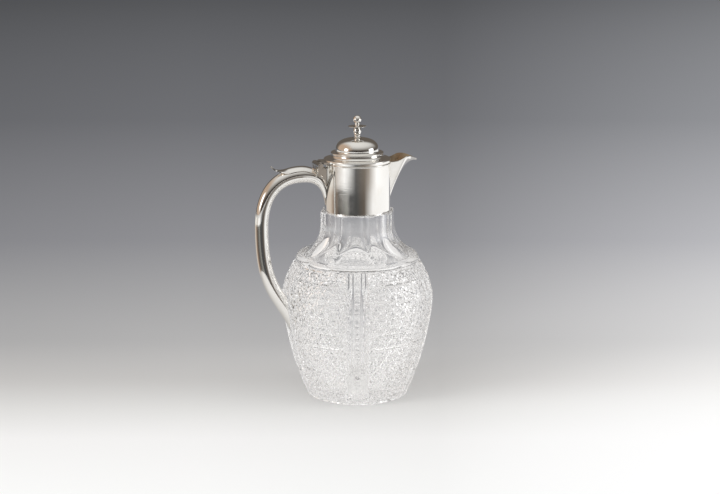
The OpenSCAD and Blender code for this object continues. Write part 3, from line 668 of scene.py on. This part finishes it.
def lid_turnings(material):
    top = SEAT_Z + 3
    flange = [(25.5, SEAT_Z), (28.8, SEAT_Z), (29, SEAT_Z + 0.2)]
    flange += arc_line((28, top - 1), (1, 1), 0, 90, 8)
    turned_piece("lid_flange_ring", [*flange, (25.5, top)], material, ["lid_flange"], ring=True)

    cove = curve_line(((26.8, 208.6), (23.4, 209.1), (22.3, 210.1), (22.2, 212.4)), 24)
    sheet = [*cove, *[p - Vector((1.44, 0)) for p in reversed(cove)]]
    turned_piece("lid_cavetto", sheet, material, ["lid_moulding"], ring=True)

    bead = [(19.3, 212.4), *arc_line((22, 213.2), (0.8, 0.8), -90, 90, 12), (19.3, 214)]
    turned_piece("lid_bead_wire", bead, material, ["lid_bead"], ring=True)

    foot = curve_line(((19.8, 214), (19.1, 214.1), (18.7, 214.3), (18.6, 215)), 8)
    outer = [*foot, *full_line((0, 215), (18.6, 11.2), 40)[1:-1], Vector((1.55, 226.2))]
    inner = [(1.55, 225.3), *full_line((0, 215), (17.7, 10.3), 32)[-2::-1], (18.9, 214)]
    turned_piece("lid_raised_dome", [*outer, *inner], material, ["lid_dome"], ring=True)


# Heights where the finial's stem meets the dome, the disc and the ball
STEM_Z, DISC_Z, BALL_Z = 226.15, 235.51, 237.21


def finial(material):
    waist = ((4.3, 0), (2.7, 1.0), (2.5, 2.1), (3.0, 3.6), (3.4, 5.4), (3.2, 7.1))
    side = through((*waist, (2.45, DISC_Z - STEM_Z)), 5)
    stud = [(0, 218.9), (1.5, 218.9), (1.5, STEM_Z)]
    stem = [*stud, *[(p.x, STEM_Z + p.y) for p in side], (0, DISC_Z)]
    turned_piece("finial_baluster", stem, material, ["finial_stem"])

    disc = [(0, DISC_Z), (4, DISC_Z), (7.5, 235.75), *arc_line((7.8, 236.0), (0.2, 0.2), -70, 80, 5)]
    disc += [*curve_line(((7.5, 236.25), (5, 236.4), (3.4, 236.7), (2.72, BALL_Z)), 8), (0, BALL_Z)]
    turned_piece("finial_flat_disc", disc, material, ["finial_disc"])

    joint = math.degrees(math.asin(-math.sqrt(3.6**2 - 2.11**2) / 3.6))
    ball = [(0, BALL_Z), (2.3, BALL_Z), (2.0, 237.8), *arc_line((0, 241.8), (3.6, 3.6), joint, 90, 24)]
    turned_piece("finial_top_ball", ball, material, ["finial_ball"], sharp=50)


# ---- materials
def linear(hex_colour):
    """An sRGB hex colour as linear red, green, blue and full alpha."""
    parts = [int(hex_colour[i : i + 2], 16) / 255 for i in (1, 3, 5)]
    return [*(c / 12.92 if c <= 0.04045 else ((c + 0.055) / 1.055) ** 2.4 for c in parts), 1.0]


def add(tree, kind, sockets=None, **settings):
    """Adds a ShaderNode of a kind; a socket takes a value or another node's output."""
    node = tree.nodes.new("ShaderNode" + kind)
    for name, value in settings.items():
        setattr(node, name, value)
    for name, value in (sockets or {}).items():
        if isinstance(value, bpy.types.NodeSocket):
            tree.links.new(value, node.inputs[name])
        else:
            node.inputs[name].default_value = value
    return node


def fill_stops(ramp, colours, first=0.0, last=1.0):
    """Sets a ramp's stops from pairs of place and colour, for places from first to last."""
    stops = ramp.color_ramp.elements
    while len(stops) < len(colours):
        stops.new(0.5)
    for stop, (place, colour) in zip(stops, colours):
        stop.position, stop.color = (place - first) / (last - first), linear(colour)


def new_material(name):
    material = bpy.data.materials.new(name)
    material.use_nodes = True
    material.node_tree.nodes.clear()
    return material, material.node_tree


def lead_crystal(tree):
    """Lead crystal, cut on a wheel and polished: colourless and bright, with a faint ripple."""
    where = add(tree, "TexCoord").outputs["Object"]
    # Ripples from polishing, about 5 mm long, drawn deeper than the real few micrometres
    ripple = add(tree, "TexNoise", {"Vector": where, "Scale": 200.0, "Detail": 1.0})
    relief = {"Height": ripple.outputs["Fac"], "Strength": 0.06, "Distance": 0.0004}
    glass = {"Base Color": linear("#FFFFFF"), "Roughness": 0.01, "IOR": 1.54}
    glass["Transmission Weight"] = 1.0
    glass["Normal"] = add(tree, "Bump", relief).outputs["Normal"]
    shader = add(tree, "BsdfPrincipled", glass)
    add(tree, "OutputMaterial", {"Surface": shader.outputs[0]})


def sterling_silver(tree, settings):
    """Sterling silver, raised and hand polished: a mirror with soft wear and hairline scratches."""
    where = add(tree, "TexCoord").outputs["Object"]
    # Handling wear in patches about 12 mm across
    patches = {"Vector": where, "Scale": 80.0, "Detail": 3.0, "Roughness": 0.6}
    wear = add(tree, "TexNoise", patches).outputs["Fac"]
    rough = {"Value": wear, "From Min": 0.3, "From Max": 0.75, "To Min": 0.045, "To Max": 0.12}
    dull = add(tree, "MapRange", rough)
    # Polishing hairlines run round the jug; real ones are finer than the 0.7 mm drawn here
    squash = add(tree, "Mapping", {"Vector": where, "Scale": (90.0, 90.0, 1400.0)})
    lines = {"Vector": squash.outputs[0], "Scale": 1.0, "Detail": 2.0}
    hair = add(tree, "TexNoise", lines).outputs["Fac"]
    bump = add(tree, "Bump", {"Height": hair, "Strength": 0.05, "Distance": 0.0001})
    handled = {"Value": wear, "From Min": 0.45, "From Max": 0.8, "To Min": 0.0, "To Max": 0.35}
    faint = add(tree, "MapRange", handled).outputs[0]
    colours = {0: faint, 6: linear(settings.silver), 7: linear(settings.tarnish)}
    tint = add(tree, "Mix", colours, data_type="RGBA")
    metal = {"Base Color": tint.outputs[2], "Metallic": 1.0, "Roughness": dull.outputs[0]}
    metal["Normal"] = bump.outputs["Normal"]
    shader = add(tree, "BsdfPrincipled", metal)
    add(tree, "OutputMaterial", {"Surface": shader.outputs[0]})


def beak_silver_painted_shade(tree):
    """Silver inside the beak, less polished, its dark brown colour painted shade and reflection of the hollow.
    """
    where = add(tree, "TexCoord").outputs["Object"]
    # The painted shade is blotched in patches about 8 mm across
    dark_patches = add(tree, "TexNoise", {"Vector": where, "Scale": 120.0, "Detail": 3.0})
    brown = {0: dark_patches.outputs["Fac"], 6: linear("#6E5E4C"), 7: linear("#A8957C")}
    tint = add(tree, "Mix", brown, data_type="RGBA")
    metal = {"Base Color": tint.outputs[2], "Metallic": 1.0, "Roughness": 0.22}
    shader = add(tree, "BsdfPrincipled", metal)
    add(tree, "OutputMaterial", {"Surface": shader.outputs[0]})


def set_plaster(tree):
    """Plaster of Paris, run in wet and set: chalky, off-white and matt."""
    where = add(tree, "TexCoord").outputs["Object"]
    # Grain about 1 mm across
    grain = add(tree, "TexNoise", {"Vector": where, "Scale": 900.0, "Detail": 4.0})
    colours = {0: grain.outputs["Fac"], 6: linear("#E3DCCF"), 7: linear("#F1ECE2")}
    shade = add(tree, "Mix", colours, data_type="RGBA")
    relief = {"Height": grain.outputs["Fac"], "Strength": 0.3, "Distance": 0.0002}
    chalk = {"Base Color": shade.outputs[2], "Roughness": 0.95}
    chalk["Normal"] = add(tree, "Bump", relief).outputs["Normal"]
    shader = add(tree, "BsdfPrincipled", chalk)
    add(tree, "OutputMaterial", {"Surface": shader.outputs[0]})


def material_named(name, draw, *given):
    """The material of that name, drawn when it is first asked for."""
    material = bpy.data.materials.get(name)
    if material is None:
        material, tree = new_material(name)
        draw(tree, *given)
    return material


def crystal():
    return material_named("lead crystal, cut and polished", lead_crystal)


def silver():
    settings = bpy.context.scene.jug_silver
    return material_named("sterling silver, polished", sterling_silver, settings)


# Darker silver for the inside of the beak, whose brown is painted shade and reflection
def beak_silver_shaded():
    return material_named("sterling silver, darkened by painted shade inside the beak", beak_silver_painted_shade)


def plaster():
    return material_named("plaster of Paris, set", set_plaster)


# ---- stage
# The stage is turned about the jug to face the photograph's camera
VIEW_TURN = math.radians(18)
# Greys of the paper by its distance in metres behind the jug, as it falls away from the lamps
PAPER_GREYS = (
    (-0.26, "#F8F8F7"), (-0.13, "#F3F2F1"), (-0.06, "#E6E5E3"), (0.03, "#CFCDCB"),
    (0.16, "#B8B7B7"), (0.62, "#98989C"), (1.65, "#7B7C80"), (4.4, "#626366"),
)
PAPER_FROM, PAPER_TO = -0.3, 4.5
# Glowing rings round the paper that only the silver shows, painted in sectors as dark, brown and white
# reflections: degrees to the right of the camera, and colour
NEAR_REFLECTION_COLOURS = (
    (-135, "#C4BCB4"), (-105, "#C4B8AC"), (-90, "#8A7666"), (-65, "#504C48"), (-35, "#888884"),
    (-25, "#484848"), (0, "#484848"), (25, "#605850"), (55, "#F0F0F0"), (145, "#F8F8F8"),
)
FAR_REFLECTION_COLOURS = (
    (-135, "#D8D0C8"), (-100, "#F0F0EC"), (-80, "#BCB4AC"), (-45, "#FFFFFF"), (-30, "#E0E0E0"),
    (-5, "#5C5C5C"), (25, "#746C64"), (40, "#989088"), (70, "#FFFFFF"), (145, "#F0F0F0"),
)
# Brightness of the painted reflection rings, which glow though they are no lamps
REFLECTION_RING_GLOW = 1.2
# Greys of the studio's walls and ceiling by height, as the sine of the angle above the floor
WALL_GREYS = (
    (0.0, "#4C4641"), (0.2, "#6C6762"), (0.45, "#A8A5A1"), (0.75, "#DAD9D7"), (1.0, "#ECEBE8"),
)
# Softboxes: name, degrees to the right of the camera, lowest and highest edge, and width
SOFTBOXES = (("right softbox", 81, 0.02, 0.7, 0.9), ("left softbox", -62, 0.15, 0.85, 0.65))
LAMP_DISTANCE, FACE_DISTANCE = 1.25, 1.24
CAMERA_PLACE, CAMERA_TILT, CAMERA_LENS = (-0.4489, -1.3893, 0.455), 12.55, 86.0


def seen(tree):
    """1 for rays that see the background: from the camera, and through or off the jug."""
    path = add(tree, "LightPath").outputs
    either = {0: path["Is Camera Ray"], 1: path["Is Glossy Ray"]}
    either = add(tree, "Math", either, operation="ADD").outputs[0]
    rays = {0: either, 1: path["Is Transmission Ray"]}
    return add(tree, "Math", rays, operation="ADD", use_clamp=True).outputs[0]


def turned_axes(tree, coordinates):
    """The stage's own coordinates: X to the camera's right, Y away from it."""
    where = add(tree, "TexCoord").outputs[coordinates]
    turn = add(tree, "Mapping", {"Vector": where, "Rotation": (0, 0, VIEW_TURN)})
    return add(tree, "SeparateXYZ", {"Vector": turn.outputs[0]}).outputs


def paper_sweep():
    """Matt background paper: white under the lamps in front, falling off to grey behind."""
    material, tree = new_material("background paper, matt")
    axes = turned_axes(tree, "Object")
    back = {"Value": axes["Y"], "From Min": PAPER_FROM, "From Max": PAPER_TO}
    back = add(tree, "MapRange", back)
    ramp = add(tree, "ValToRGB", {"Fac": back.outputs[0]})
    fill_stops(ramp, PAPER_GREYS, PAPER_FROM, PAPER_TO)
    # The right-hand lamp spreads its light in a wedge over that side of the paper
    reach = add(tree, "Math", {0: axes["Y"], 1: 1.46}, operation="ADD")
    aside = add(tree, "Math", {0: axes["X"], 1: reach.outputs[0]}, operation="DIVIDE")
    aside = aside.outputs[0]
    spread = {"Value": aside, "From Min": 0.05, "From Max": 0.215, "To Min": 1.0, "To Max": 2.0}
    shade = {"Value": aside, "From Min": -0.21, "From Max": -0.1, "To Min": 0.87, "To Max": 1.0}
    lit, dim = (add(tree, "MapRange", sides).outputs[0] for sides in (spread, shade))
    power = add(tree, "Math", {0: lit, 1: dim}, operation="MULTIPLY")
    dark = add(tree, "Invert", {"Color": ramp.outputs[0]})
    less = {"Color": dark.outputs[0], "Gamma": power.outputs[0]}
    less = add(tree, "Gamma", less)
    paper = add(tree, "Invert", {"Color": less.outputs[0]}).outputs[0]
    plain = add(tree, "BsdfDiffuse", {"Color": paper})
    # Stands in for light that cut glass gathers round its foot: only rays through glass see it
    where = add(tree, "TexCoord").outputs["Object"]
    away = add(tree, "VectorMath", {0: where}, operation="LENGTH").outputs["Value"]
    extra = {"Value": away, "From Min": 0.0, "From Max": 0.5, "To Min": 0.8, "To Max": 0.0}
    extra = add(tree, "MapRange", extra).outputs[0]
    path = add(tree, "LightPath")
    in_glass = {0: extra, 1: path.outputs["Is Transmission Ray"], 2: seen(tree)}
    strength = add(tree, "Math", in_glass, operation="MULTIPLY_ADD").outputs[0]
    glow = add(tree, "Emission", {"Color": paper, "Strength": strength})
    both = {0: 0.5, 1: plain.outputs[0], 2: glow.outputs[0]}
    both = add(tree, "MixShader", both)
    add(tree, "OutputMaterial", {"Surface": both.outputs[0]})
    return material


def stage_piece(bm, name, material):
    """Puts a mesh of the stage in the scene; its glow isn't sampled as a lamp."""
    material.cycles.emission_sampling = "NONE"
    piece = placed(bm, name, material)
    return piece


def floor_plane():
    bm = bmesh.new()
    bmesh.ops.create_grid(bm, x_segments=8, y_segments=8, size=7.0)
    stage_piece(bm, "paper floor", paper_sweep())


def face_jug(piece, turn, distance, low, high):
    """Stands a lamp or its face round the jug, turn degrees to the camera's right."""
    angle = math.radians(turn) - VIEW_TURN
    piece.location = (distance * math.sin(angle), -distance * math.cos(angle), (low + high) / 2)
    piece.rotation_euler = (math.radians(90), 0, angle)


def softbox_lamp(name, turn, low, high, width, stage):
    """An upright lamp that faces the jug and lights matt things; its face is what gloss shows."""
    lamp = bpy.data.lights.new(name, "AREA")
    lamp.shape, lamp.size, lamp.size_y = "RECTANGLE", width, high - low
    lamp.energy, lamp.color = stage.lamp_watts, linear(stage.lamp)[:3]
    holder = bpy.data.objects.new(name, lamp)
    face_jug(holder, turn, LAMP_DISTANCE, low, high)
    holder.visible_camera = holder.visible_glossy = holder.visible_transmission = False
    bpy.context.scene.collection.objects.link(holder)


def softbox_face(name, turn, low, high, width, stage):
    """A softbox's cloth, brightest in the middle and fading to its edges, for gloss and glass."""
    material, tree = new_material(name + " cloth, lit from behind")
    where = add(tree, "TexCoord").outputs["Object"]
    # From -1 to 1 across and up the face
    scale = {"Vector": where, "Scale": (2 / width, 2 / (high - low), 1)}
    shares = add(tree, "Mapping", scale)
    axes = add(tree, "SeparateXYZ", {"Vector": shares.outputs[0]})
    fades = []
    for axis in ("X", "Y"):
        share = add(tree, "Math", {0: axes.outputs[axis]}, operation="ABSOLUTE")
        edge = {"Value": share.outputs[0], "From Min": 1.0, "From Max": 0.2}
        edge = add(tree, "MapRange", edge, interpolation_type="SMOOTHSTEP")
        fades.append(edge.outputs[0])
    fade = add(tree, "Math", {0: fades[0], 1: fades[1]}, operation="MULTIPLY")
    lit = {"Color": linear(stage.lamp), "Strength": stage.face_glow}
    lit = add(tree, "Emission", lit)
    clear = add(tree, "BsdfTransparent")
    both = {0: fade.outputs[0], 1: clear.outputs[0], 2: lit.outputs[0]}
    both = add(tree, "MixShader", both)
    add(tree, "OutputMaterial", {"Surface": both.outputs[0]})

    bm = bmesh.new()
    bmesh.ops.create_grid(bm, x_segments=1, y_segments=1, size=0.5)
    bmesh.ops.scale(bm, verts=bm.verts, vec=(width, high - low, 1))
    face = stage_piece(bm, name, material)
    face_jug(face, turn, FACE_DISTANCE, low, high)
    face.visible_camera = face.visible_diffuse = face.visible_shadow = False


def painted_reflection_ring(name, inner, outer, colours):
    """A glowing ring round the paper, painted in sectors for reflections: only gloss sees it, so it lies just
    over the paper.
    """
    material, tree = new_material(name + ", painted")
    axes = turned_axes(tree, "Object")
    near = add(tree, "Math", {0: axes["Y"], 1: -1.0}, operation="MULTIPLY")
    angle = {0: axes["X"], 1: near.outputs[0]}
    angle = add(tree, "Math", angle, operation="ARCTAN2")
    first, last = math.radians(colours[0][0]), math.radians(colours[-1][0])
    span = {"Value": angle.outputs[0], "From Min": first, "From Max": last}
    span = add(tree, "MapRange", span)
    ramp = add(tree, "ValToRGB", {"Fac": span.outputs[0]})
    fill_stops(ramp, colours, colours[0][0], colours[-1][0])
    glow = {"Color": ramp.outputs[0], "Strength": REFLECTION_RING_GLOW}
    glow = add(tree, "Emission", glow)
    add(tree, "OutputMaterial", {"Surface": glow.outputs[0]})

    bm = bmesh.new()
    start = Matrix.Rotation(first - VIEW_TURN, 3, "Z")
    verts = [bm.verts.new(start @ Vector((0, -out, 0.002))) for out in (inner, outer)]
    geom = [*verts, bm.edges.new(verts)]
    angle = math.radians(colours[-1][0] - colours[0][0])
    spun(bm, geom, angle, 64)
    ring = stage_piece(bm, name, material)
    ring.visible_camera = ring.visible_diffuse = ring.visible_shadow = False
    ring.visible_transmission = ring.visible_volume_scatter = False


def studio_world(stage):
    """A studio for reflections, a paler one for what glass bends, and even light for the rest."""
    world = bpy.data.worlds.new("grey studio")
    world.use_nodes = True
    tree = world.node_tree
    tree.nodes.clear()
    axes = turned_axes(tree, "Generated")
    ramp = add(tree, "ValToRGB", {"Fac": axes["Z"]})
    fill_stops(ramp, WALL_GREYS)

    def share(axis, low, high):
        span = {"Value": axes[axis], "From Min": low, "From Max": high}
        return add(tree, "MapRange", span).outputs[0]

    # A brown wall to the left, the dark behind the lens, and brown above the paper's far end
    dark = {0: share("Y", -0.6, -0.85), 1: share("Z", 0.32, 0.08)}
    dark = add(tree, "Math", dark, operation="MULTIPLY").outputs[0]
    room = ramp.outputs[0]
    left, beyond = share("X", -0.35, -0.75), share("Y", 0.45, 0.72)
    for amount, colour in ((left, "#C2AA95"), (dark, "#3E3835"), (beyond, "#655E57")):
        wall = {0: amount, 6: room, 7: linear(colour)}
        room = add(tree, "Mix", wall, data_type="RGBA").outputs[2]
    even = {"Color": linear("#FFFFFF"), "Strength": stage.even_light}
    even = add(tree, "Background", even).outputs[0]
    studio = add(tree, "Background", {"Color": room, "Strength": 1.0}).outputs[0]
    # Stands in for light gathered from all round: half way to plain white, for glass alone
    bent = {0: 0.5, 6: room, 7: linear("#FFFFFF")}
    bent = add(tree, "Mix", bent, data_type="RGBA").outputs[2]
    behind = {"Color": bent, "Strength": stage.through_glass}
    behind = add(tree, "Background", behind).outputs[0]
    both = add(tree, "MixShader", {0: seen(tree), 1: even, 2: studio}).outputs[0]
    path = add(tree, "LightPath").outputs["Is Transmission Ray"]
    shown = add(tree, "MixShader", {0: path, 1: both, 2: behind})
    add(tree, "OutputWorld", {"Surface": shown.outputs[0]})
    bpy.context.scene.world = world


def photograph_camera():
    lens = bpy.data.cameras.new("photograph")
    lens.lens, lens.sensor_width, lens.clip_end = CAMERA_LENS, 36.0, 50.0
    camera = bpy.data.objects.new("photograph", lens)
    camera.location = CAMERA_PLACE
    camera.rotation_euler = (math.radians(90 - CAMERA_TILT), 0, -VIEW_TURN)
    bpy.context.scene.collection.objects.link(camera)
    bpy.context.scene.camera = camera


# ---- settings
class JugGlass(bpy.types.PropertyGroup):
    columns: IntProperty(
        name="Star columns", description="Stars across one cut panel", default=6, min=2, max=10
    )
    rows: IntProperty(
        name="Star rows", description="Rows of stars up a cut panel", default=10, min=4, max=16
    )
    groove_depth: FloatProperty(
        name="Groove depth", description="Depth of the mitre grooves", default=0.0011, unit="LENGTH"
    )
    groove_half: FloatProperty(
        name="Groove half width", description="From a groove's line to its edge", default=0.00105, unit="LENGTH"
    )
    star_depth: FloatProperty(
        name="Star depth", description="Depth of a star's middle", default=0.0009, unit="LENGTH"
    )
    flute_half: FloatProperty(
        name="Flute half width", description="Half the width of a plain flute", default=0.01, unit="LENGTH"
    )
    channel_depth: FloatProperty(
        name="Channel depth", description="Depth of a flute's middle channel", default=0.0012, unit="LENGTH"
    )


class JugSilver(bpy.types.PropertyGroup):
    silver: StringProperty(
        name="Silver", description="Colour of clean silver, sRGB hex", default="#F0EEEA"
    )
    tarnish: StringProperty(
        name="Tarnish", description="Colour of handled silver, sRGB hex", default="#E6E0D7"
    )


class JugStage(bpy.types.PropertyGroup):
    even_light: FloatProperty(
        name="Even light", description="World's light on matt surfaces", default=0.55
    )
    through_glass: FloatProperty(
        name="Through glass", description="Studio as bent by the glass", default=1.45
    )
    lamp_watts: FloatProperty(
        name="Lamp power", description="Softboxes on matt things", default=14, unit="POWER"
    )
    face_glow: FloatProperty(
        name="Face glow", description="Brightness of the softboxes' cloth", default=3.4
    )
    lamp: StringProperty(
        name="Lamp", description="Colour of the lamps, sRGB hex", default="#FFFFFF"
    )


# ---- operators
class JUG_OT_glass(bpy.types.Operator):
    """Make the cut-glass body"""

    bl_idname = "claret_jug.glass"
    bl_label = "Cut-glass body"

    def execute(self, context):
        cut_glass_body(context.scene.jug_glass, crystal())
        return {"FINISHED"}


class JUG_OT_handle(bpy.types.Operator):
    """Make the loop handle"""

    bl_idname = "claret_jug.handle"
    bl_label = "Loop handle"

    def execute(self, context):
        handle(context.scene.jug_glass, silver())
        return {"FINISHED"}


class JUG_OT_thumb_rest(bpy.types.Operator):
    """Make the strap with its curled thumb rest"""

    bl_idname = "claret_jug.thumb_rest"
    bl_label = "Thumb rest"

    def execute(self, context):
        thumb_rest(silver())
        return {"FINISHED"}


class JUG_OT_spout(bpy.types.Operator):
    """Make the beak spout"""

    bl_idname = "claret_jug.spout"
    bl_label = "Beak spout"

    def execute(self, context):
        spout(silver(), beak_silver_shaded())
        return {"FINISHED"}


class JUG_OT_lid(bpy.types.Operator):
    """Turn the lid's flange, moulding, bead and dome"""

    bl_idname = "claret_jug.lid"
    bl_label = "Lid turnings"

    def execute(self, context):
        lid_turnings(silver())
        return {"FINISHED"}


class JUG_OT_finial(bpy.types.Operator):
    """Turn the finial's stem, disc and ball"""

    bl_idname = "claret_jug.finial"
    bl_label = "Finial"

    def execute(self, context):
        finial(silver())
        return {"FINISHED"}


class JUG_OT_finishes(bpy.types.Operator):
    """Finish the CAD pieces whose shape stays as it is"""

    bl_idname = "claret_jug.finishes"
    bl_label = "Finishes of the CAD pieces"

    def execute(self, context):
        for name, piece in sorted(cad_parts.items()):
            finish = crystal() if name == "glass_body" else silver()
            finish = plaster() if name.endswith("bedding") else finish
            for i in range(len(piece.data.materials)):
                piece.data.materials[i] = finish
        return {"FINISHED"}


class JUG_OT_stage(bpy.types.Operator):
    """Set the paper floor, the lamps, the rings of painted reflections, the studio round them and the camera"""

    bl_idname = "claret_jug.stage"
    bl_label = "Stage"

    def execute(self, context):
        stage = context.scene.jug_stage
        floor_plane()
        # Rings that only gloss sees, painted with the dark, brown and white that the silver reflects
        painted_reflection_ring("ring of painted reflections", 0.3, 1.0, NEAR_REFLECTION_COLOURS)
        painted_reflection_ring("far ring of painted reflections", 1.0, 2.4, FAR_REFLECTION_COLOURS)
        for name, *place in SOFTBOXES:
            softbox_lamp(name, *place, stage)
            softbox_face(name + " face", *place, stage)
        studio_world(stage)
        photograph_camera()
        context.scene.view_settings.view_transform = "Standard"
        cycles = context.scene.cycles
        cycles.max_bounces = cycles.transmission_bounces = 24
        cycles.glossy_bounces = 8
        cycles.diffuse_bounces = 2
        return {"FINISHED"}


class JUG_PT_panel(bpy.types.Panel):
    """Steps that dress the jug"""

    bl_idname = "JUG_PT_panel"
    bl_label = "Claret jug"
    bl_space_type = "VIEW_3D"
    bl_region_type = "UI"
    bl_category = "Claret jug"

    def draw(self, context):
        for group in (context.scene.jug_glass, context.scene.jug_silver, context.scene.jug_stage):
            for name in group.__annotations__:
                self.layout.prop(group, name)
        for step in STEPS:
            self.layout.operator(step.bl_idname)


STEPS = (
    JUG_OT_glass,
    JUG_OT_handle,
    JUG_OT_thumb_rest,
    JUG_OT_spout,
    JUG_OT_lid,
    JUG_OT_finial,
    JUG_OT_finishes,
    JUG_OT_stage,
)
CLASSES = (JugGlass, JugSilver, JugStage, *STEPS, JUG_PT_panel)


def register():
    for cls in CLASSES:
        bpy.utils.register_class(cls)
    bpy.types.Scene.jug_glass = PointerProperty(type=JugGlass)
    bpy.types.Scene.jug_silver = PointerProperty(type=JugSilver)
    bpy.types.Scene.jug_stage = PointerProperty(type=JugStage)


def unregister():
    del bpy.types.Scene.jug_stage
    del bpy.types.Scene.jug_silver
    del bpy.types.Scene.jug_glass
    for cls in reversed(CLASSES):
        bpy.utils.unregister_class(cls)


def main():
    register()
    for step in STEPS:
        section, name = step.bl_idname.split(".")
        getattr(getattr(bpy.ops, section), name)()


if __name__ == "__main__":
    main()
